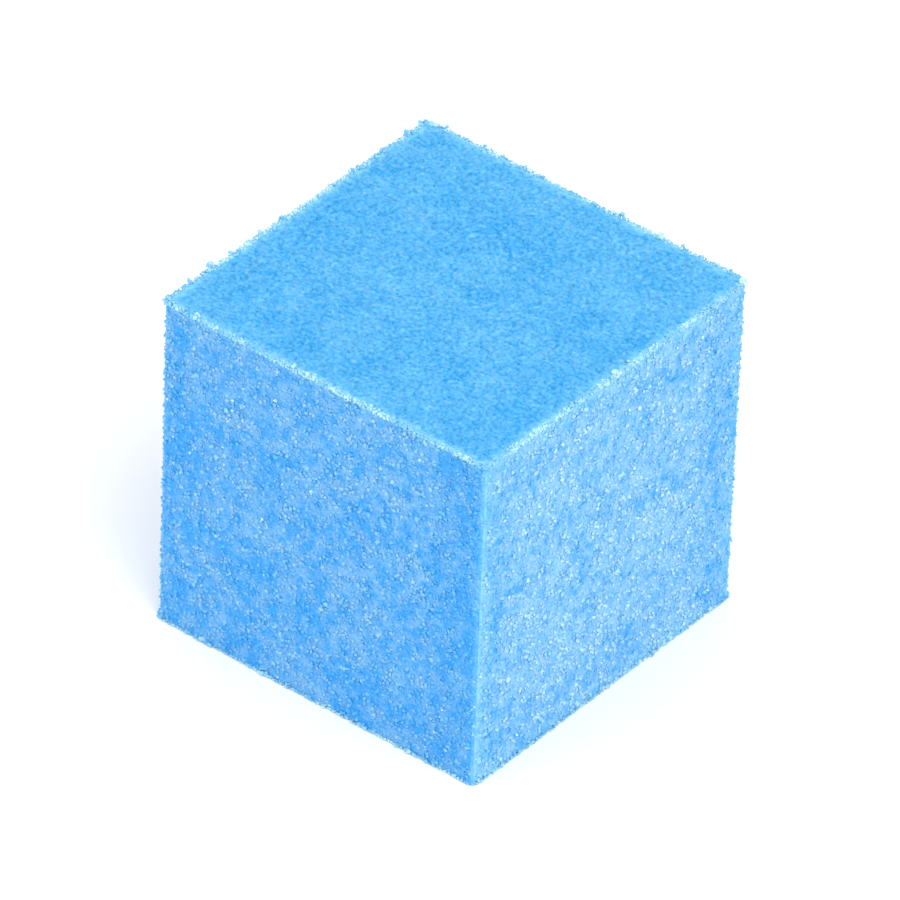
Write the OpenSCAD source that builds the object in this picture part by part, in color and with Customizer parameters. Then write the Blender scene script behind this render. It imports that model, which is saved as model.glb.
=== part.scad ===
// Nail buffer block: a foam block with abrasive on four sides, sliced from a coated foam bar.
//
// The block stands on one of its two cut faces, with the length of the bar along +Z and the
// middle of the bottom face at the origin. Front is -Y and right is +X. From the foam outwards,
// each side carries a make coat, a layer of grains and a size coat. The layers of neighbouring
// sides meet in a seam along the middle of each rounded long edge.

/* [Block] */
// Width from left to right, over the abrasive
block_w = 25; // [15:0.5:50]
// Depth from front to back, over the abrasive
block_d = 25; // [15:0.5:50]
// Height between the two cut faces
block_h = 23.75; // [10:0.25:100]
// Radius of the four long edges, over the abrasive
edge_r = 0.6; // [0.6:0.05:3]

/* [Abrasive] */
// Thickness of the make coat, the resin that bonds the grains to the foam
make_t = 0.1; // [0.05:0.01:0.15]
// Thickness of the layer of grains
grain_t = 0.22; // [0.1:0.01:0.3]
// Thickness of the size coat, the resin that locks the grains
size_t = 0.06; // [0.03:0.01:0.1]

/* [Hidden] */
$fn = 96;

// Depths below the outer surface at which one layer ends and the next begins
grain_depth = size_t;
make_depth = grain_depth + grain_t;
foam_depth = make_depth + make_t;

// The sides, each numbered by the corner that it starts from, anticlockwise seen from above
FRONT = 0;
RIGHT = 1;
BACK = 2;
LEFT = 3;

// Corners of the block, and the centres that the round long edges turn about
corners = [for (s = [[-1, -1], [1, -1], [1, 1], [-1, 1]]) [s.x * block_w / 2, s.y * block_d / 2]];
edge_centres = [for (c = corners) [c.x - sign(c.x) * edge_r, c.y - sign(c.y) * edge_r]];

// Cross-section of everything deeper than a depth below the outer surface
module section(depth) {
    square([block_w - 2 * depth, block_d - 2 * edge_r], center = true);
    square([block_w - 2 * edge_r, block_d - 2 * depth], center = true);
    for (centre = edge_centres)
        translate(centre) circle(edge_r - depth);
}

// Strip of the cross-section that belongs to one side, with a 45 degree seam at each end
module side_strip(side) {
    next = (side + 1) % 4;
    polygon([corners[side], corners[next], edge_centres[next], edge_centres[side]]);
}

// One layer of one side, between two depths below the outer surface
module layer(side, outer_depth, inner_depth) {
    linear_extrude(block_h)
        intersection() {
            difference() {
                section(outer_depth);
                section(inner_depth);
            }
            side_strip(side);
        }
}

// Closed-cell foam, bare on its two cut faces
module foam_core() {
    color([0.38, 0.75, 0.98]) linear_extrude(block_h) section(foam_depth);
}

// Resin film on the foam that the grains are set in
module make_coat(side) {
    color([0.30, 0.62, 0.93]) layer(side, make_depth, foam_depth);
}

// One layer of grains
module grain_layer(side) {
    color([0.78, 0.90, 0.98]) layer(side, grain_depth, make_depth);
}

// Resin film over the grains
module size_coat(side) {
    color([0.44, 0.74, 0.97]) layer(side, 0, grain_depth);
}

foam_core();
make_coat(FRONT);  // make_coat_front
make_coat(RIGHT);  // make_coat_right
make_coat(BACK);  // make_coat_back
make_coat(LEFT);  // make_coat_left
grain_layer(FRONT);  // grain_layer_front
grain_layer(RIGHT);  // grain_layer_right
grain_layer(BACK);  // grain_layer_back
grain_layer(LEFT);  // grain_layer_left
size_coat(FRONT);  // size_coat_front
size_coat(RIGHT);  // size_coat_right
size_coat(BACK);  // size_coat_back
size_coat(LEFT);  // size_coat_left
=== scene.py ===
"""Looks of the nail buffer block: a foam core with a coat of abrasive on each of its four long sides.

Each piece stands for one layer of the CAD part, and takes its place from the boxes of those layers.
The foam's cut faces are sliced cells, each resin coat is a thin wavy skin, and each layer of
grains is thousands of separate angular grains, with broken ones along the cut edges.
"""
import math

import bpy
import numpy as np
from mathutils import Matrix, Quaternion, Vector
from mathutils.geometry import delaunay_2d_cdt


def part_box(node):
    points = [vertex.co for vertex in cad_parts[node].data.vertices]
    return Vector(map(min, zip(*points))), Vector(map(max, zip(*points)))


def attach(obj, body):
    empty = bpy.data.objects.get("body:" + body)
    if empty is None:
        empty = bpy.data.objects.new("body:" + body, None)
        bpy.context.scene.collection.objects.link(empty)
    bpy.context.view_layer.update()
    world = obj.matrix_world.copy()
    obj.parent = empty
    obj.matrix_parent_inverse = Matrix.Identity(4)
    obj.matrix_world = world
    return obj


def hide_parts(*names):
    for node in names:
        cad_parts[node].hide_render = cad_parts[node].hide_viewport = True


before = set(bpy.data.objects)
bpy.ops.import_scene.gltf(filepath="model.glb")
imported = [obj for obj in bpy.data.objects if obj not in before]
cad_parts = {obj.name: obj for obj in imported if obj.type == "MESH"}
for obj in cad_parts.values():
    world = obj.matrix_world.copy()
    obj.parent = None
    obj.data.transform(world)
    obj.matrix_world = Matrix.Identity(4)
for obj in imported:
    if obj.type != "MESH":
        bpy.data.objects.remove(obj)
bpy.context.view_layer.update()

MM = 0.001
SEED = 7

# Each side's outward direction and the direction that its length runs in, seen from above
SIDES = {
    "front": ((0, -1), (1, 0)),
    "right": ((1, 0), (0, 1)),
    "back": ((0, 1), (-1, 0)),
    "left": ((-1, 0), (0, -1)),
}

# ---------------------------------------------------------------- sizes, read from the frame

HALF = np.array([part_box("size_coat_right")[1].x, -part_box("size_coat_front")[0].y])
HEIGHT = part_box("foam_core")[1].z
# Depths below the outer surface, read off the front side's layers
MAKE_DEPTH = HALF[1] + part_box("make_coat_front")[0].y
FOAM_DEPTH = HALF[1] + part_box("foam_core")[0].y
# The front size coat ends at a 45 degree seam half way round a long edge, which gives its radius
SEAM_ANGLE = math.radians(45)
EDGE_R = (HALF[0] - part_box("size_coat_front")[1].x) / (1 - math.cos(SEAM_ANGLE))

# ---------------------------------------------------------------- sizes of the detail, in metres

# Foam: its cells, and how far they stray from an even grid, as a share of their pitch
CELL_PITCH = 0.22 * MM
CELL_DEPTH = 0.15 * MM
CELL_STRAY = 0.36
# The share of the cells left out of the grid, and what is added to it in the patches of larger cells
CELLS_OUT, CROWDED_OUT = 0.10, 0.22
# The share of the cells that are much deeper than the rest, and how many times as deep
DEEP_SHARE, DEEPER = 0.04, 1.8
# The unevenness of the cell walls, the swell of a cut face and its length, and the paler rim
WALL_UNEVENNESS = 0.008 * MM
FACE_SWELL, FACE_SWELL_LENGTH = 0.035 * MM, 5 * MM
RIM_WIDTH = 0.62 * MM

# Grains over a side, how far they stray from an even grid, as a share of their pitch, and how clear of
# its seams, its foot and its top their middles stay
GRAIN_PITCH = 0.235 * MM
GRAIN_R = 0.118 * MM
GRAIN_STRAY = 0.45
SEAM_MARGIN = 0.06 * MM
FOOT_MARGIN = 0.05 * MM
TOP_MARGIN = 0.10 * MM
# The spread of their sizes, and how much smaller they are on the seams
GRAIN_SPREAD = 0.24
SEAM_GRAIN_SCALE = 0.85
# The share of the places that hold a grain: on the seams, over the rest, and what a pale patch adds
SEAM_FILL, FACE_FILL, PATCH_FILL = 0.72, 0.86, 0.20
# A grain's tint, from 0 for stained to 1 for white: its mean, what a pale patch adds, what a bluer
# band takes off, its spread, and its limit. A few grains, GLINT_SHARE of them, are white all through.
FACE_TINT, PATCH_TINT, CALM_TINT, TINT_SPREAD, FACE_TINT_LIMIT = 0.30, 0.38, 0.19, 0.08, 0.78
GLINT_SHARE = 0.006

# Grains along the cut edges. The rows that the cut has sliced, with their spread along and across:
ROW_DEPTHS = np.array([0.07, 0.17, 0.28, 0.37]) * MM
ROW_PITCH = 0.17 * MM
ROW_SPREAD, ROW_DEPTH_SPREAD = 0.06 * MM, 0.03 * MM
# The crumbs, in clusters:
CLUSTER_PITCH = 1.1 * MM
CLUSTER_SPREAD = 0.18 * MM
CRUMBS_IN_CLUSTER = 4
CRUMB_DEPTH = 0.40 * MM
# The torn flake:
FLAKE_GRAINS = 22
FLAKE_LENGTH = 0.55 * MM
FLAKE_DEPTH = 0.45 * MM
# The tint of the grains in the cut: its mean, what a bright dash adds, its spread, and what the ends of
# the line take off. The dashes come in two lengths.
CUT_TINT, DASH_TINT, CUT_TINT_SPREAD, CORNER_TINT = 0.66, 0.50, 0.12, 0.45
SHORT_DASH, LONG_DASH = 0.7 * MM, 2.5 * MM
# How far the flush grains of the lower cut stay inside the films' ends, so that no faces share a plane
FLUSH_GAP = 0.004 * MM

# Resin: the grids of the two films, the depth that the size coat fills to, and its climb up a grain
SKIN_PITCH = 0.10 * MM
MAKE_PITCH = 0.40 * MM
RESIN_DEPTH = 0.21 * MM
RESIN_CLIMB = 0.06 * MM
# Waves in the make coat, ripples in the size coat, and how far a pale patch stands below the rest
MAKE_WAVE, MAKE_WAVE_LENGTH = 0.02 * MM, 1.2 * MM
RIPPLE, RIPPLE_LENGTH = 0.015 * MM, 0.35 * MM
PATCH_SINK = 0.01 * MM
# The size coat's paleness runs over PATCH_RANGE: its mean, what the side's painted light adds per unit,
# and what a bluer band takes off
PATCH_RANGE = (-0.75, 1.75)
COAT_PATCH, SIDE_LIGHT_PATCH, CALM_PATCH = 0.04, 2.4, 0.35
# The torn edge of a film at the upper cut: fine teeth, and chips out of it
TOOTH_HEIGHT = 0.035 * MM
TOOTH_LENGTH = 0.22 * MM
CHIP_DEPTH = 0.10 * MM
CHIP_LENGTH = 0.9 * MM

# Pale film and painted light: the reach of the pale film and painted highlight from the seams, the share of
# that where it is whole, the reach of the pale film from the cut edges, and the reach of the band of
# painted light on a side with painted light
SEAM_BAND = 0.34 * MM
SEAM_CORE = 0.25
CUT_BAND = 0.65 * MM
EDGE_LIGHT_BAND = 1.8 * MM
# How strong the pale film and painted highlight are at the seams of a side with no painted light, and what
# the side's painted light adds per unit there and in the band of painted light
SEAM_FILM_AND_HIGHLIGHT, SEAM_LIGHT_GAIN, EDGE_LIGHT_GAIN = 0.45, 1.6, 1.5
# The lower cut edge has less pale film and painted light, as if its edge were this far below the block
LOWER_EDGE_DROP = 0.30 * MM
# The bluer bands along a side's long edges, first at the start of its length and then at its end
CALM_WIDTH = (2.7 * MM, 4.8 * MM)
CALM_STRENGTH = (0.6, 1.0)
# How far the bands' limits waver with height, as a share of the fade, and over what length
SEAM_WAVER, SEAM_WAVER_LENGTH = 0.35, 1.3 * MM
CALM_WAVER, CALM_WAVER_LENGTH = 0.15, 2.0 * MM
# The white line of the upper cut edge is duller this close to its ends
CORNER_CALM = 1.2 * MM

# Painted light: how much paler each side's grains and coats are painted than another's, for the light that
# falls more strongly on some sides than on others
PAINTED_SIDE_LIGHT = {"front": 0.0, "right": 0.33, "back": 0.12, "left": 0.06}
# The side whose coat has torn at the end of its upper cut edge, and left a flake standing
FLAKE_SIDE = "right"


# ---------------------------------------------------------------- noise and small maths

NOISE_PERIOD = 64
# Uneven patches in the grain: the sizes of their features in millimetres and each size's share, and how
# much further down than up they go
BLOTCH_SHARES = {8.0: 0.14, 2.6: 0.36, 1.1: 0.28, 0.45: 0.86}
BLOTCH_SKEW = 0.25


def smooth(x):
    """0 to 1 with level ends, for x from 0 to 1."""
    x = np.clip(x, 0, 1)
    return x * x * (3 - 2 * x)


def value_noise(x, y, cell, rng):
    """Smooth noise from -1 to 1 over points x, y, with features the size of cell. It repeats after
    NOISE_PERIOD cells."""
    table = rng.uniform(-1, 1, (NOISE_PERIOD, NOISE_PERIOD))
    u, v = x / cell, y / cell
    i, j = np.floor(u).astype(int), np.floor(v).astype(int)
    a, b = smooth(u - i), smooth(v - j)
    i0, i1 = i % NOISE_PERIOD, (i + 1) % NOISE_PERIOD
    j0, j1 = j % NOISE_PERIOD, (j + 1) % NOISE_PERIOD
    low = table[i0, j0] * (1 - a) + table[i1, j0] * a
    high = table[i0, j1] * (1 - a) + table[i1, j1] * a
    return low * (1 - b) + high * b


def blotches(x, y, seed):
    """Uneven patches at several sizes, mostly within -1 to 1. One seed gives one side's patches."""
    rng = np.random.default_rng(seed)
    rough = sum(share * value_noise(x, y, size * MM, rng) for size, share in BLOTCH_SHARES.items())
    return rough - BLOTCH_SKEW * rough ** 2


def random_turns(count, rng):
    """Random rotation matrices."""
    quaternion = rng.normal(size=(4, count))
    w, x, y, z = quaternion / np.linalg.norm(quaternion, axis=0)
    rows = [
        [1 - 2 * (y * y + z * z), 2 * (x * y - w * z), 2 * (x * z + w * y)],
        [2 * (x * y + w * z), 1 - 2 * (x * x + z * z), 2 * (y * z - w * x)],
        [2 * (x * z - w * y), 2 * (y * z + w * x), 1 - 2 * (x * x + y * y)],
    ]
    return np.moveaxis(np.array(rows), 2, 0)


# ---------------------------------------------------------------- places on a coated side


def side_length(side):
    """Length of a side's outline, from seam to seam."""
    half_along = HALF @ np.abs(SIDES[side][1])
    return 2 * (half_along - EDGE_R + EDGE_R * SEAM_ANGLE)


def on_side(side, s, depth, z):
    """Points on a side and their outward normals: s along its outline from the middle, depth inwards."""
    outward, along = (np.array(d, float) for d in SIDES[side])
    flat = HALF @ np.abs(along) - EDGE_R
    angle = np.maximum(np.abs(s) - flat, 0) / EDGE_R
    reach = np.sign(s) * (np.minimum(np.abs(s), flat) + (EDGE_R - depth) * np.sin(angle))
    out = HALF @ np.abs(outward) - EDGE_R + (EDGE_R - depth) * np.cos(angle)
    flat_point = reach[..., None] * along + out[..., None] * outward
    normal = (np.sign(s) * np.sin(angle))[..., None] * along + np.cos(angle)[..., None] * outward
    z = np.broadcast_to(z, s.shape)
    return (np.concatenate([flat_point, z[..., None]], -1),
            np.concatenate([normal, np.zeros(s.shape + (1,))], -1))


def from_long_edge(side, s):
    """Distance along the outline from the nearer seam."""
    return side_length(side) / 2 - np.abs(s)


def seam_band(side, s, z):
    """1 along the seams of a side, fading to 0 away from them, by a different distance at each height."""
    waver = SEAM_WAVER * value_noise(z, s, SEAM_WAVER_LENGTH, np.random.default_rng(SEED))
    return 1 - smooth(from_long_edge(side, s) / SEAM_BAND - SEAM_CORE - waver)


def calm_band(side, s, z):
    """Above 0 along the long edges of a side, where its grains are bluer, and 0 over the rest. It fades
    between half of the band's width and all of it, at a distance that wavers with height."""
    waver = CALM_WAVER * value_noise(z, s, CALM_WAVER_LENGTH, np.random.default_rng(SEED))
    width = np.where(s < 0, *CALM_WIDTH)
    strength = np.where(s < 0, *CALM_STRENGTH)
    return strength * (1 - smooth(2 * from_long_edge(side, s) / width - 1 - waver))


def film_share(side, s, z):
    """How much pale colour covers a place on a side, from 0 to 1: most along the seams, where it is partly
    pale film and partly painted highlight, and along the cut edges, where it is crazed film. A side with
    painted light has more of it at its seams, and a band of painted light further in from all its edges."""
    from_cut = np.minimum(HEIGHT - z, z + LOWER_EDGE_DROP)
    from_edge = np.minimum(from_cut, from_long_edge(side, s))
    # Along the seams: pale film and painted highlight on the rounded long edges, more on a side with
    # painted light
    seam = (SEAM_FILM_AND_HIGHLIGHT + SEAM_LIGHT_GAIN * PAINTED_SIDE_LIGHT[side]) * seam_band(side, s, z)
    cut = 1 - smooth(from_cut / CUT_BAND)
    # A band of painted light in from all the edges, foot included, of a side with painted light
    painted_edge_light = EDGE_LIGHT_GAIN * PAINTED_SIDE_LIGHT[side] * (1 - smooth(from_edge / EDGE_LIGHT_BAND))
    return np.max([seam, cut, painted_edge_light], axis=0)


# ---------------------------------------------------------------- meshes


def new_piece(name, verts, faces, stands_for, slot, material, smooth_faces=True, **attributes):
    """A mesh piece that rides on the block and stands for one CAD node."""
    mesh = bpy.data.meshes.new(name)
    mesh.from_pydata(np.asarray(verts).tolist(), [], faces)
    if smooth_faces:
        mesh.shade_smooth()
    else:
        mesh.shade_flat()
    for key, values in attributes.items():
        mesh.attributes.new(key, "FLOAT", "POINT").data.foreach_set("value", np.float32(values))
    piece = bpy.data.objects.new(name, mesh)
    bpy.context.scene.collection.objects.link(piece)
    piece.data.materials.append(material)
    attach(piece, "root")
    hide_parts(stands_for)


def skin(side, pitch, outer_depth, inner_depth, ragged):
    """Vertices and faces of a closed film on a side, and each vertex's s and z.

    outer_depth gives the depth of its outer surface from s and z, and ragged the height that its cut
    edge stands above the cut face, from s.
    """
    length = side_length(side)
    columns, rows = round(length / pitch), round(HEIGHT / pitch)
    s_line = np.linspace(-length / 2, length / 2, columns + 1)
    z_line = np.linspace(0, HEIGHT, rows + 1)
    s, z = np.meshgrid(s_line, z_line)
    lift = ragged(s_line)[None] * smooth((z - HEIGHT + 3 * pitch) / (3 * pitch))
    outer, _ = on_side(side, s, outer_depth(s, z), z + lift)
    ends = np.array([0.0, HEIGHT])
    s_ends, z_ends = np.meshgrid(s_line, ends)
    z_ends[1] += ragged(s_line)
    inner, _ = on_side(side, s_ends, np.full(s_ends.shape, inner_depth), z_ends)

    outer_id = np.arange(s.size).reshape(s.shape)
    low, high = s.size + np.arange(2 * (columns + 1)).reshape(2, -1)

    def strip(a, b, c, d):
        return np.stack([a, b, c, d], -1).reshape(-1, 4).tolist()

    faces = strip(outer_id[:-1, :-1], outer_id[:-1, 1:], outer_id[1:, 1:], outer_id[1:, :-1])
    faces += strip(low[:-1], high[:-1], high[1:], low[1:])
    faces += strip(outer_id[-1, :-1], outer_id[-1, 1:], high[1:], high[:-1])
    faces += strip(outer_id[0, :-1], low[:-1], low[1:], outer_id[0, 1:])
    faces.append([*outer_id[:, 0].tolist(), int(high[0]), int(low[0])])
    faces.append([*outer_id[::-1, -1].tolist(), int(low[-1]), int(high[-1])])
    verts = np.concatenate([outer.reshape(-1, 3), inner.reshape(-1, 3)])
    all_s = np.concatenate([s.ravel(), s_ends.ravel()])
    all_z = np.concatenate([z.ravel(), z_ends.ravel()])
    return verts, faces, all_s, all_z


def ragged_edge(rng):
    """Height of a torn cut edge above the cut face, as a function of s: fine teeth and a few chips."""
    seed = int(rng.integers(1 << 30))

    def height(s):
        along = np.zeros_like(s)
        teeth = TOOTH_HEIGHT * value_noise(s, along, TOOTH_LENGTH, np.random.default_rng(seed))
        chips = value_noise(s, along, CHIP_LENGTH, np.random.default_rng(seed + 1))
        return teeth - CHIP_DEPTH * smooth((chips - 0.45) / 0.4)

    return height


# ---------------------------------------------------------------- foam core


def cut_face_points(rng):
    """Middles of the sliced cells over a cut face, with points round its outline last."""
    half, r = HALF - FOAM_DEPTH, EDGE_R - FOAM_DEPTH
    edge = []
    for k, (sx, sy) in enumerate([(1, 1), (-1, 1), (-1, -1), (1, -1)]):
        centre = np.array([sx, sy]) * (half - r)
        turn = np.linspace(0, math.pi / 2, 5) + k * math.pi / 2
        edge.append(centre + r * np.stack([np.cos(turn), np.sin(turn)], -1))
    outline = np.concatenate(edge)
    following = np.roll(outline, -1, axis=0)
    ring = []
    for a, b in zip(outline, following):
        count = max(1, round(np.linalg.norm(b - a) / (0.8 * CELL_PITCH)))
        ring.append(a + (b - a) * (np.arange(count) / count)[:, None])
    ring = np.concatenate(ring)

    step = CELL_PITCH * np.array([1, math.sqrt(3) / 2])
    nx, ny = np.ceil(2 * half / step).astype(int)
    gx, gy = np.meshgrid(np.arange(nx), np.arange(ny))
    points = np.stack([(gx + 0.5 * (gy % 2)) * step[0], gy * step[1]], -1).reshape(-1, 2) - half
    points += rng.uniform(-CELL_STRAY, CELL_STRAY, points.shape) * CELL_PITCH
    # Cells differ in size: some neighbours of a large cell are left out
    crowd = value_noise(points[:, 0], points[:, 1], 2.5 * CELL_PITCH, rng)
    points = points[rng.random(len(points)) > CELLS_OUT + CROWDED_OUT * (crowd > 0.35)]
    # Distance inside the rounded outline
    q = np.abs(points) - (half - r)
    outside = np.linalg.norm(np.maximum(q, 0), axis=-1) + np.minimum(q.max(-1), 0) - r
    return points[outside < -0.45 * CELL_PITCH], ring


def cell_faces(points, ring):
    """Triangles of the sliced cells. Each cell is a hollow round its middle, and the walls between
    cells run from the middle of one Delaunay triangle to the next."""
    flat = np.concatenate([points, ring])
    first = len(points)
    loop = [(first + i, first + (i + 1) % len(ring)) for i in range(len(ring))]
    _, _, triangles, _, _, _ = delaunay_2d_cdt([Vector(p) for p in flat], loop, [], 1, 0)
    triangles = np.array(triangles)
    wall_tops = flat[triangles].mean(1)
    beside = {}
    for t, (a, b, c) in enumerate(triangles.tolist()):
        for edge in ((a, b), (b, c), (c, a)):
            beside[edge] = len(flat) + t
    faces = []
    for (a, b), left in beside.items():
        right = beside.get((b, a))
        if right is None:
            faces.append((a, b, left))
        elif a < b:
            faces += [(a, right, left), (right, b, left)]
    return flat, wall_tops, faces


def cut_face(rng):
    """One cut face of the foam, level at height 0: vertices, triangles, ring, and attributes."""
    points, ring = cut_face_points(rng)
    flat, wall_tops, faces = cell_faces(points, ring)
    hollow = CELL_DEPTH * rng.uniform(0.3, 1.0, len(points)) ** 1.3
    hollow[rng.random(len(points)) < DEEP_SHARE] *= DEEPER
    walls = rng.normal(0, WALL_UNEVENNESS, len(wall_tops))
    height = np.concatenate([-hollow, np.zeros(len(ring)), walls])
    xy = np.concatenate([flat, wall_tops])
    swell = FACE_SWELL * value_noise(xy[:, 0], xy[:, 1], FACE_SWELL_LENGTH, rng)
    verts = np.concatenate([xy, (height + swell)[:, None]], -1)
    # A few cells are much paler than the rest
    tint = np.concatenate([rng.exponential(1, len(points)) - 1, np.zeros(len(ring) + len(wall_tops))])
    # How deep each vertex lies in its cell, which the foam's colour turns into painted shade
    pit = np.clip(-height / CELL_DEPTH, 0, 1.5)
    ring_ids = np.arange(len(points), len(points) + len(ring))
    return verts, faces, ring_ids, tint, pit


def foam_core(material):
    """The foam core: two cut faces of sliced cells, joined by plain walls under the coats."""
    rng = np.random.default_rng(SEED)
    verts, faces, ring, tint, pit = cut_face(rng)
    low_verts, low_faces, low_ring, low_tint, low_pit = cut_face(rng)
    low_verts[:, 2] *= -1
    low_verts[:, 2] -= low_verts[:, 2].min()
    verts[:, 2] += HEIGHT
    offset = len(verts)
    # Both outlines have the same number of points in the same order, so a wall joins them one to one
    faces = list(faces) + [tuple(offset + i for i in reversed(f)) for f in low_faces]
    for a, b, c, d in zip(ring, np.roll(ring, -1), low_ring + offset, np.roll(low_ring, -1) + offset):
        faces.append((int(b), int(a), int(c), int(d)))
    all_verts = np.concatenate([verts, low_verts])
    from_rim = (HALF - FOAM_DEPTH - np.abs(all_verts[:, :2])).min(-1)
    rim = 1 - smooth(from_rim / RIM_WIDTH)
    new_piece("foam_core_cells", all_verts, faces, "foam_core", "foam", material,
              cell_tint=np.concatenate([tint, low_tint]),
              pit=np.concatenate([pit, low_pit]), rim=rim)


# ---------------------------------------------------------------- grains

BLOCK = np.array([(x, y, z) for z in (-1, 1) for y in (-1, 1) for x in (-1, 1)]) / math.sqrt(3)
# Two triangles to a face, wound to face outwards. A corner's number has a bit each for x, y and z.
BLOCK_FACES = np.array([
    (0, 2, 3), (0, 3, 1), (4, 5, 7), (4, 7, 6), (0, 1, 5), (0, 5, 4),
    (2, 6, 7), (2, 7, 3), (0, 4, 6), (0, 6, 2), (1, 3, 7), (1, 7, 5),
])
CORNERS = len(BLOCK)


def grain_offsets(radius, rng):
    """Corner offsets of angular grains of the given radii, each squashed and turned its own way."""
    count = len(radius)
    shape = BLOCK[None] * rng.uniform(0.70, 1.15, (count, CORNERS, 1))
    shape = (shape + rng.uniform(-0.22, 0.22, shape.shape)) * rng.uniform(0.75, 1.25, (count, 1, 3))
    return np.einsum("nij,nkj->nki", random_turns(count, rng), shape) * radius[:, None, None]


def scatter(side, patch_seed, rng):
    """Places of the grains over a side: s, z, radius and tint. They thin out on the long edges."""
    length = side_length(side)
    step = GRAIN_PITCH * np.array([1, math.sqrt(3) / 2])
    columns, rows = (np.array([length, HEIGHT]) / step).astype(int)
    gi, gj = np.meshgrid(np.arange(columns), np.arange(rows))
    s = ((gi + 0.25 + 0.5 * (gj % 2)) * step[0]).ravel() - length / 2
    z = ((gj + 0.5) * step[1]).ravel()
    s = s + rng.uniform(-GRAIN_STRAY, GRAIN_STRAY, s.size) * GRAIN_PITCH
    z = z + rng.uniform(-GRAIN_STRAY, GRAIN_STRAY, z.size) * GRAIN_PITCH
    patch = blotches(s, z, patch_seed)
    seam = from_long_edge(side, s) < SEAM_BAND
    share = np.where(seam, SEAM_FILL, FACE_FILL) + PATCH_FILL * patch
    keep = (rng.random(s.size) < share) & (np.abs(s) < length / 2 - SEAM_MARGIN)
    keep &= (z > FOOT_MARGIN) & (z < HEIGHT - TOP_MARGIN)
    radius = GRAIN_R * rng.lognormal(0, GRAIN_SPREAD, s.size) * np.where(seam, SEAM_GRAIN_SCALE, 1)
    # The side's painted light makes all its grains paler
    tint = FACE_TINT + PAINTED_SIDE_LIGHT[side] + PATCH_TINT * patch + rng.normal(0, TINT_SPREAD, s.size)
    tint -= CALM_TINT * calm_band(side, s, z)
    tint = np.clip(tint, 0, FACE_TINT_LIMIT)
    tint[rng.random(s.size) < GLINT_SHARE] = 1
    return [a[keep] for a in (s, z, radius, tint)]


def edge_rows(length, rng):
    """Grains that the cut has sliced through, in rows: s, depth, height over the cut, and radius."""
    count = int(length / ROW_PITCH)
    s = np.tile(np.linspace(-length / 2, length / 2, count), len(ROW_DEPTHS))
    s += rng.normal(0, ROW_SPREAD, s.size)
    depth = np.repeat(ROW_DEPTHS, count) + rng.normal(0, ROW_DEPTH_SPREAD, s.size)
    radius = GRAIN_R * rng.uniform(0.55, 1.0, s.size)
    return np.stack([s, depth, radius * rng.uniform(-0.8, 0.05, s.size), radius])


def edge_crumbs(length, rng):
    """Crumbs of coat that the cut has left on the edge, in clusters."""
    clusters = rng.uniform(-length / 2, length / 2, int(length / CLUSTER_PITCH))
    s = np.repeat(clusters, CRUMBS_IN_CLUSTER)
    s += rng.normal(0, CLUSTER_SPREAD, s.size)
    depth = rng.uniform(0.0, CRUMB_DEPTH, s.size)
    radius = GRAIN_R * rng.lognormal(-0.05, 0.28, s.size)
    return np.stack([s, depth, radius * rng.uniform(0.0, 0.9, s.size), radius])


def edge_flake(length, rng):
    """A flake of torn coat that stands on the end of the edge."""
    s = length / 2 - rng.uniform(0.0, FLAKE_LENGTH, FLAKE_GRAINS)
    depth = rng.uniform(0.0, FLAKE_DEPTH, FLAKE_GRAINS)
    radius = GRAIN_R * rng.uniform(0.8, 1.4, FLAKE_GRAINS)
    return np.stack([s, depth, radius * rng.uniform(0.0, 1.6, FLAKE_GRAINS), radius])


def cut_edge_grains(side, top, rng):
    """Broken grains along one cut edge: s, z, depth, radius, tint and how far resin films them."""
    length = side_length(side)
    groups = [edge_rows(length, rng), edge_crumbs(length, rng)]
    filmed = [np.full(g.shape[1], 0.5) for g in groups]
    if top and side == FLAKE_SIDE:
        groups.append(edge_flake(length, rng))
        filmed.append(np.zeros(groups[-1].shape[1]))
    s, depth, up, radius = np.concatenate(groups, 1)
    filmed = np.concatenate(filmed)
    s = np.clip(s, -length / 2, length / 2)
    # The block stands on its lower cut edge, so nothing sticks out below it
    z = HEIGHT + up if top else 0.9 * radius
    # The line of broken grains is bright in dashes, and duller at its ends
    dash = value_noise(s, np.zeros_like(s), SHORT_DASH, rng)
    dash += 0.5 * value_noise(s, depth, LONG_DASH, rng)
    tint = CUT_TINT + DASH_TINT * dash + rng.normal(0, CUT_TINT_SPREAD, s.size)
    tint -= CORNER_TINT * (1 - smooth(from_long_edge(side, s) / CORNER_CALM))
    tint = np.clip(tint, 0.2, 1)
    tint[filmed == 0] = 1
    return s, z, depth, radius, tint, filmed


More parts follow.
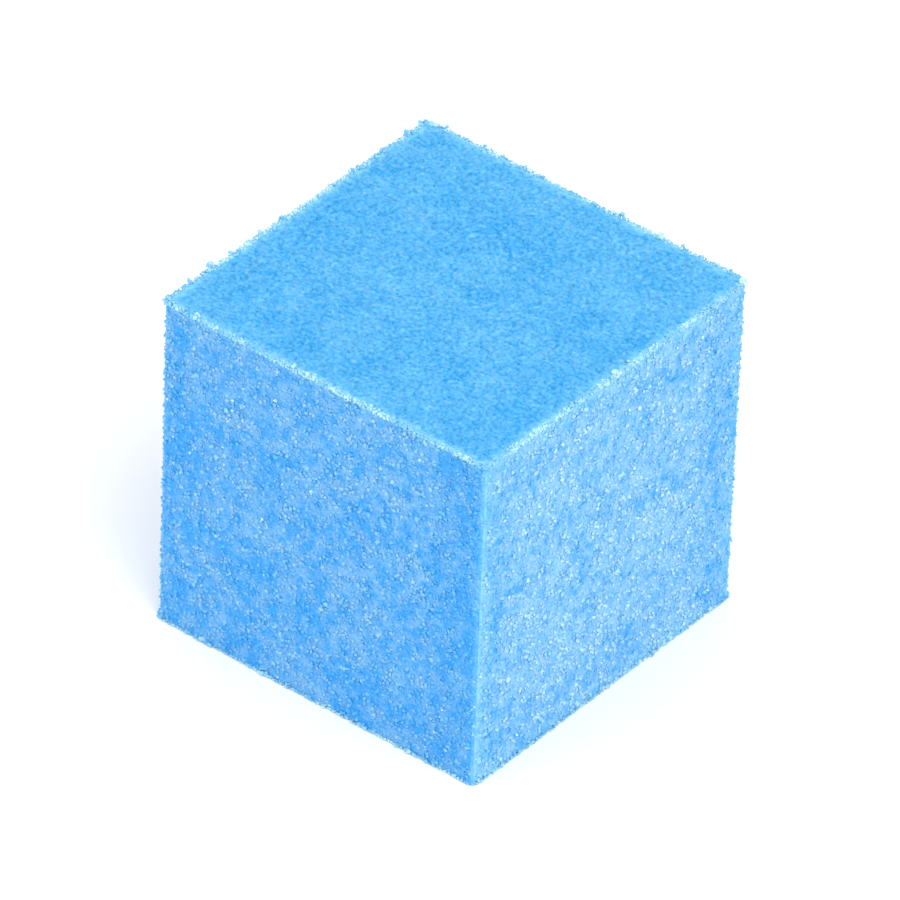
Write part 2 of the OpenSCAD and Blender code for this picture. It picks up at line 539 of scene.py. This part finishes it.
def grain_layer(side, material, patch_seed, rng):
    """All the grains of a side as one piece. Returns where the grains of its face stand."""
    s, z, radius, tint = scatter(side, patch_seed, rng)
    offsets = grain_offsets(radius, rng)
    _, normal = on_side(side, s, np.zeros_like(s), z)
    outwards = np.einsum("nki,ni->nk", offsets, normal)
    # Grains stand out of the resin by part of their size, but not out of the block's outline
    centre_depth = RESIN_DEPTH - radius * rng.uniform(-0.35, 0.75, s.size)
    centre_depth = np.maximum(centre_depth, outwards.max(1))
    centre, _ = on_side(side, s, centre_depth, z)
    corners = [centre[:, None] + offsets]
    tints = [tint]
    # How deep each corner sits: 0 at the block's outline, 1 at the level of the resin
    sunk = [(centre_depth[:, None] - outwards) / RESIN_DEPTH]
    # Pale film and painted light over the grains: painted highlight along the seams, crazed film at the cut
    # edges, and the side's painted light
    film = [film_share(side, s, z)]

    for is_top in (True, False):
        edge_s, edge_z, depth, edge_radius, edge_tint, filmed = cut_edge_grains(side, is_top, rng)
        edge_centre, _ = on_side(side, edge_s, depth, edge_z)
        corners.append(edge_centre[:, None] + grain_offsets(edge_radius, rng))
        tints.append(edge_tint)
        sunk.append(np.zeros((edge_s.size, CORNERS)))
        film.append(filmed)

    verts = np.concatenate(corners).reshape(-1, 3)
    # The cut that the block stands on leaves its grains flush
    verts[:, 2] = np.maximum(verts[:, 2], FLUSH_GAP)
    count = len(verts) // CORNERS
    faces = (BLOCK_FACES[None] + CORNERS * np.arange(count)[:, None, None]).reshape(-1, 3).tolist()
    new_piece(f"{side}_grains", verts, faces, f"grain_layer_{side}", "grains", material,
              smooth_faces=False, tint=np.repeat(np.concatenate(tints), CORNERS),
              sunk=np.concatenate(sunk).ravel(), film=np.repeat(np.concatenate(film), CORNERS))
    return s, z, radius


# ---------------------------------------------------------------- resin coats


def make_coat(side, material, rng):
    """The bond film: a thin skin on the foam, a little wavy under the grains."""
    wave_seed = int(rng.integers(1 << 30))

    def outer_depth(s, z):
        wave_rng = np.random.default_rng(wave_seed)
        return MAKE_DEPTH + MAKE_WAVE * value_noise(s, z, MAKE_WAVE_LENGTH, wave_rng)

    verts, faces, _, _ = skin(side, MAKE_PITCH, outer_depth, FOAM_DEPTH, ragged_edge(rng))
    new_piece(f"{side}_make_coat", verts, faces, f"make_coat_{side}", "make_resin", material)


def meniscus(grains, s, z):
    """How far the resin climbs round the grains, from 0 to 1, on the skin's own grid."""
    climb = np.zeros(s.shape)
    rows, columns = s.shape
    ds, dz = s[0, 1] - s[0, 0], z[1, 0] - z[0, 0]
    grain_s, grain_z, radius = grains
    ci, cj = np.rint((grain_s - s[0, 0]) / ds).astype(int), np.rint(grain_z / dz).astype(int)
    for dj in range(-3, 4):
        for di in range(-3, 4):
            i, j = ci + di, cj + dj
            ok = (i >= 0) & (i < columns) & (j >= 0) & (j < rows)
            far = np.hypot(s[0, 0] + i * ds - grain_s, j * dz - grain_z) / (1.15 * radius)
            np.maximum.at(climb, (j[ok], i[ok]), np.exp(-far[ok] ** 2))
    return climb


def size_coat(side, grains, material, patch_seed, rng):
    """The outer resin film, which climbs the grains and gathers along the long edges."""
    ripple_seed = int(rng.integers(1 << 30))

    def outer_depth(s, z):
        ripple_rng = np.random.default_rng(ripple_seed)
        climb = RESIN_CLIMB * meniscus(grains, s, z)
        ripple = RIPPLE * value_noise(s, z, RIPPLE_LENGTH, ripple_rng)
        ripple += PATCH_SINK * blotches(s, z, patch_seed)
        # At the seam both sides' films stand equally deep, so that they meet
        open_face = smooth(from_long_edge(side, s) / (EDGE_R * SEAM_ANGLE))
        return RESIN_DEPTH * (0.80 + 0.20 * open_face) - (climb - ripple) * open_face

    verts, faces, s, z = skin(side, SKIN_PITCH, outer_depth, MAKE_DEPTH, ragged_edge(rng))
    # The side's painted light makes its whole size coat paler
    patch = COAT_PATCH + SIDE_LIGHT_PATCH * PAINTED_SIDE_LIGHT[side] + blotches(s, z, patch_seed)
    patch -= CALM_PATCH * calm_band(side, s, z)
    new_piece(f"{side}_size_coat", verts, faces, f"size_coat_{side}", "size_resin", material,
              film=film_share(side, s, z), patch=patch)


# ---------------------------------------------------------------- materials

# Base colours, linear
FOAM_DEEP = (0.014, 0.282, 0.65, 1)
FOAM_LIGHT = (0.150, 0.460, 0.72, 1)
# The colour of pale film, and of the painted highlight and painted light laid over the coats and grains
PALE_FILM_AND_LIGHT = (0.21, 0.56, 0.765, 1)
RESIN_DEEP = (0.012, 0.286, 0.71, 1)
RESIN_PALE = (0.25, 0.50, 0.71, 1)
GRAIN_STAINED = (0.055, 0.395, 0.76, 1)
GRAIN_CLEAR = (0.29, 0.555, 0.745, 1)
GRAIN_WHITE = (0.61, 0.83, 0.80, 1)
# The foam's mean share of its light colour, and its mottling: features in millimetres, and strengths
FOAM_LIGHTNESS = 0.485
FOAM_MOTTLE = {4.0: 0.60, 1.5: 0.40, 0.6: 0.50, 0.25: 1.7}


class Shader:
    """A material's node tree, with a short call for each kind of node that the block uses."""

    def __init__(self, name):
        self.material = bpy.data.materials.new(name)
        self.material.use_nodes = True
        self.nodes = self.material.node_tree.nodes
        self.links = self.material.node_tree.links
        self.surface = self.nodes["Principled BSDF"]
        self.place = self.nodes.new("ShaderNodeTexCoord").outputs["Object"]

    def put(self, socket, value):
        """Links value to a socket if it is an output, and otherwise sets it."""
        if isinstance(value, bpy.types.NodeSocket):
            self.links.new(value, socket)
        else:
            socket.default_value = value

    def noise(self, size, detail=2.0):
        """Noise from 0 to 1 with features of a size in metres."""
        n = self.nodes.new("ShaderNodeTexNoise")
        n.inputs["Scale"].default_value = 1 / size
        n.inputs["Detail"].default_value = detail
        self.links.new(self.place, n.inputs["Vector"])
        return n.outputs["Fac"]

    def attribute(self, name):
        n = self.nodes.new("ShaderNodeAttribute")
        n.attribute_name = name
        return n.outputs["Fac"]

    def maths(self, operation, a, b=0.0, clamp=False):
        n = self.nodes.new("ShaderNodeMath")
        n.operation = operation
        n.use_clamp = clamp
        self.put(n.inputs[0], a)
        self.put(n.inputs[1], b)
        return n.outputs[0]

    def span(self, value, low, high, to_low=0.0, to_high=1.0):
        """value, from low to high, as to_low to to_high, clamped."""
        n = self.nodes.new("ShaderNodeMapRange")
        self.put(n.inputs["Value"], value)
        for key, number in (("From Min", low), ("From Max", high), ("To Min", to_low), ("To Max", to_high)):
            n.inputs[key].default_value = number
        return n.outputs["Result"]

    def mix(self, share, a, b):
        """Colour a where share is 0, and b where it is 1."""
        n = self.nodes.new("ShaderNodeMix")
        n.data_type = "RGBA"
        self.put(n.inputs["Factor"], share)
        self.put(n.inputs[6], a)
        self.put(n.inputs[7], b)
        return n.outputs[2]

    def bump(self, height, distance, strength=1.0):
        n = self.nodes.new("ShaderNodeBump")
        n.inputs["Strength"].default_value = strength
        n.inputs["Distance"].default_value = distance
        self.put(n.inputs["Height"], height)
        self.put(self.surface.inputs["Normal"], n.outputs["Normal"])

    def finish(self, colour, roughness, ior=1.45, specular=0.5):
        self.put(self.surface.inputs["Base Color"], colour)
        self.put(self.surface.inputs["Roughness"], roughness)
        self.surface.inputs["IOR"].default_value = ior
        self.surface.inputs["Specular IOR Level"].default_value = specular
        return self.material


def foam_material():
    """Matt closed-cell foam, mottled from cell to cell, darker in its cell hollows as painted shade, and
    paler where the cut has torn its rim.
    """
    m = Shader("blue_foam")
    share = FOAM_LIGHTNESS
    for size, weight in FOAM_MOTTLE.items():
        swing = m.maths("MULTIPLY", m.maths("SUBTRACT", m.noise(size * MM, 1), 0.5), weight)
        share = m.maths("ADD", share, swing)
    share = m.maths("ADD", share, m.maths("MULTIPLY", m.attribute("cell_tint"), 0.20))
    # The cell hollows are painted darker: painted shade
    share = m.maths("SUBTRACT", share, m.maths("MULTIPLY", m.attribute("pit"), 0.20), clamp=True)
    colour = m.mix(share, FOAM_DEEP, FOAM_LIGHT)
    torn = m.maths("MULTIPLY", m.attribute("rim"), m.span(m.noise(0.5 * MM, 3), 0.35, 0.65, 0.1, 0.8))
    colour = m.mix(torn, colour, PALE_FILM_AND_LIGHT)
    m.bump(m.noise(0.06 * MM, 3), 0.012 * MM, 0.6)
    m.surface.inputs["Subsurface Weight"].default_value = 0.15
    m.surface.inputs["Subsurface Radius"].default_value = (0.2, 0.6, 1.0)
    m.surface.inputs["Subsurface Scale"].default_value = 0.05 * MM
    return m.finish(colour, m.span(m.noise(0.3 * MM, 2), 0.3, 0.7, 0.68, 0.88), specular=0.35)


def make_resin_material():
    """The bond film, seen only at the cut edges, where the cut has crazed it."""
    m = Shader("make_resin")
    colour = m.mix(m.span(m.noise(0.5 * MM, 3), 0.3, 0.7), RESIN_PALE, PALE_FILM_AND_LIGHT)
    m.bump(m.noise(0.15 * MM, 2), 0.01 * MM, 0.5)
    return m.finish(colour, m.span(m.noise(0.4 * MM), 0.3, 0.7, 0.35, 0.55))


def size_resin_material():
    """The outer film: blue between the grains, and pale where the cut has crazed it and along the long
    edges, where the pale is partly film and partly painted highlight. A side with painted light is paler
    all over and in from its edges."""
    m = Shader("size_resin")
    patch = m.span(m.attribute("patch"), *PATCH_RANGE)
    share = m.maths("ADD", patch, m.span(m.noise(0.22 * MM, 2), 0.3, 0.7, -0.3, 0.3), clamp=True)
    colour = m.mix(share, RESIN_DEEP, RESIN_PALE)
    # Pale where crazed, with painted highlight along the seams and painted light in from the edges of a lit
    # side
    pale = m.maths("MULTIPLY", m.attribute("film"), m.span(m.noise(0.5 * MM, 3), 0.35, 0.65, 0.15, 0.9))
    colour = m.mix(pale, colour, PALE_FILM_AND_LIGHT)
    m.bump(m.noise(0.09 * MM, 3), 0.015 * MM, 0.5)
    return m.finish(colour, m.span(m.noise(0.5 * MM, 2), 0.3, 0.7, 0.32, 0.55))


def grain_material():
    """Hard mineral grains, from resin-stained to clear and white, with their feet in blue resin."""
    m = Shader("abrasive_grains")
    tint = m.attribute("tint")
    colour = m.mix(m.span(tint, 0.0, 0.6), GRAIN_STAINED, GRAIN_CLEAR)
    colour = m.mix(m.span(tint, 0.6, 1.0), colour, GRAIN_WHITE)
    colour = m.mix(m.span(m.noise(0.10 * MM, 2), 0.35, 0.65, 0.0, 0.30), colour, GRAIN_STAINED)
    colour = m.mix(m.span(m.attribute("sunk"), 0.35, 1.1, 0.0, 0.85), colour, RESIN_DEEP)
    # Grains paled by pale film, painted highlight along the seams, and the side's painted light
    colour = m.mix(m.maths("MULTIPLY", m.attribute("film"), 0.75), colour, PALE_FILM_AND_LIGHT)
    return m.finish(colour, m.span(m.noise(0.2 * MM), 0.3, 0.7, 0.30, 0.55), ior=1.6)


# ---------------------------------------------------------------- studio

FLOOR_HALF = 3.0
# The floor lies just under the block, so that it shares no plane with the lower cut face
FLOOR_GAP = 0.02 * MM
# The camera's place round the block and its lean, in degrees, and its distance and view in metres
CAMERA_AZIMUTH, CAMERA_ELEVATION, CAMERA_LEAN = 38.0, 37.2, 2.2
CAMERA_DISTANCE = 0.68
SEEN_HEIGHT = 0.054


def direction(azimuth, elevation):
    """Direction from the block, by its angle round it and above the floor in degrees."""
    a, e = math.radians(azimuth), math.radians(elevation)
    return Vector((math.sin(a) * math.cos(e), -math.cos(a) * math.cos(e), math.sin(e)))


def area_light(name, azimuth, elevation, distance, size, watts):
    """A soft light aimed at the block, placed by its angle round it."""
    light = bpy.data.lights.new(name, "AREA")
    light.shape = "DISK"
    light.size = size
    light.energy = watts
    lamp = bpy.data.objects.new(name, light)
    away = direction(azimuth, elevation)
    lamp.location = away * distance + Vector((0, 0, HEIGHT / 2))
    lamp.rotation_mode = "QUATERNION"
    lamp.rotation_quaternion = away.to_track_quat("Z", "Y")
    lamp.visible_camera = False
    bpy.context.scene.collection.objects.link(lamp)


def studio():
    """A white floor and even white surroundings, with the main light from the right."""
    world = bpy.data.worlds.new("studio")
    world.use_nodes = True
    background = world.node_tree.nodes["Background"]
    background.inputs["Color"].default_value = (1, 1, 1, 1)
    background.inputs["Strength"].default_value = 1.0
    bpy.context.scene.world = world
    area_light("key", azimuth=72, elevation=48, distance=0.6, size=0.50, watts=2.2)
    area_light("fill", azimuth=-40, elevation=40, distance=0.7, size=0.50, watts=1.2)

    mesh = bpy.data.meshes.new("floor")
    r = FLOOR_HALF
    mesh.from_pydata([(-r, -r, 0), (r, -r, 0), (r, r, 0), (-r, r, 0)], [], [(0, 1, 2, 3)])
    floor = bpy.data.objects.new("floor", mesh)
    floor.location.z = -FLOOR_GAP
    bpy.context.scene.collection.objects.link(floor)
    m = Shader("pale_floor")
    floor.data.materials.append(m.finish((0.90, 0.90, 0.90, 1), 0.7, specular=0.2))
    bpy.context.scene.view_settings.view_transform = "Standard"


def camera():
    """Seen from the front right and above, from as far off as a product photograph is taken, with
    the slight lean that the photograph has."""
    away = direction(CAMERA_AZIMUTH, CAMERA_ELEVATION)
    lens = bpy.data.cameras.new("camera")
    lens.angle = 2 * math.atan(SEEN_HEIGHT / 2 / CAMERA_DISTANCE)
    cam = bpy.data.objects.new("camera", lens)
    cam.location = Vector((0, 0, HEIGHT / 2)) + away * CAMERA_DISTANCE
    cam.rotation_mode = "QUATERNION"
    lean = Quaternion((0, 0, 1), math.radians(CAMERA_LEAN))
    cam.rotation_quaternion = away.to_track_quat("Z", "Y") @ lean
    bpy.context.scene.collection.objects.link(cam)
    bpy.context.scene.camera = cam


# ---------------------------------------------------------------- the block


def build():
    foam_core(foam_material())
    make_resin, size_resin, grains = make_resin_material(), size_resin_material(), grain_material()
    for number, side in enumerate(SIDES):
        patch_seed = SEED + 100 + number
        rng = np.random.default_rng(SEED + 10 * (number + 1))
        placed = grain_layer(side, grains, patch_seed, rng)
        make_coat(side, make_resin, rng)
        size_coat(side, placed, size_resin, patch_seed, rng)


build()
studio()
camera()
